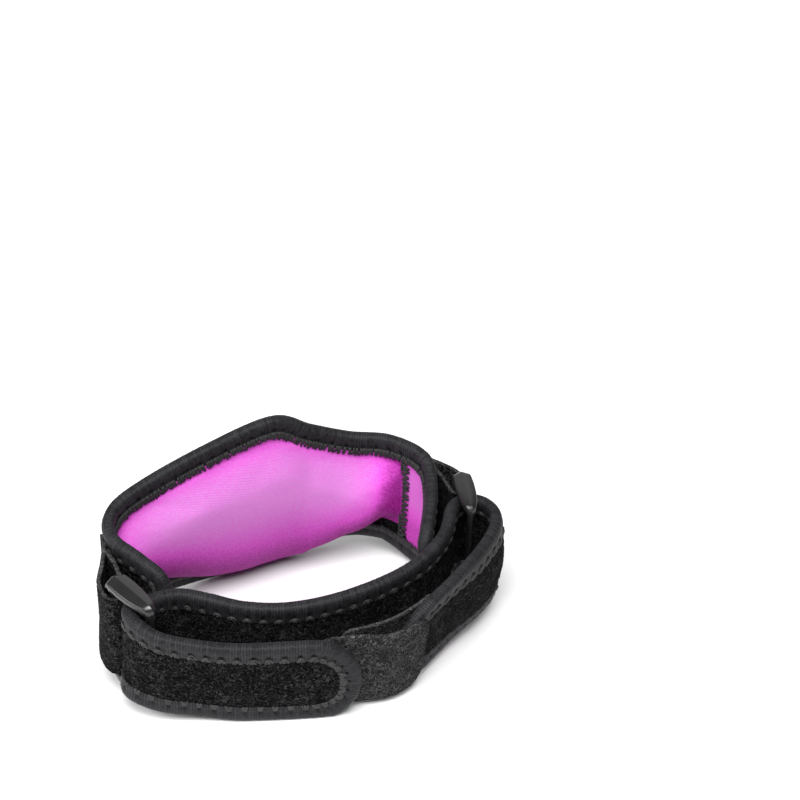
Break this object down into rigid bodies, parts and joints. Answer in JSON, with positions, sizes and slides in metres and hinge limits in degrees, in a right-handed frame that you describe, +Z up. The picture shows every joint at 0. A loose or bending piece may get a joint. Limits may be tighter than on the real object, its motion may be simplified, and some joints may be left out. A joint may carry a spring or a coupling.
{
  "type": "padded elbow protector",
  "caption": "Strap-on elbow protector: a leaf-shaped foam pad lined in magenta jersey, with bound edges, plastic rings in cloth loops and a bound strap that folds back on hook tabs.",
  "frame": {"origin": "on the surface it stands on, under the middle of its box", "axes": "+Z up; X from ring to ring, with the strap end that laps outside on -X; +Y toward the pad, -Y toward the strap's closure"},
  "size_m": [0.1462, 0.114, 0.0726],
  "materials": {
    "loop_pile": "matte black loop cloth with a curly pile",
    "edge_tape": "ribbed charcoal edge tape, folded and stitched",
    "jersey_lining": "smooth magenta jersey with a fine knit",
    "ring_plastic": "satin dark grey moulded plastic",
    "hook_tape": "mottled grey hook tape"
  },
  "bodies": {
    "root": {"pad_panel": "loop_pile", "pad_lining": "jersey_lining", "pad_binding": "edge_tape", "strap": "loop_pile", "strap_binding": "edge_tape", "ring_left": "ring_plastic", "ring_right": "ring_plastic", "ring_loop_left": "loop_pile", "ring_loop_right": "loop_pile", "hook_tab_left": "hook_tape", "hook_tab_right": "hook_tape"}
  },
  "joints": []
}
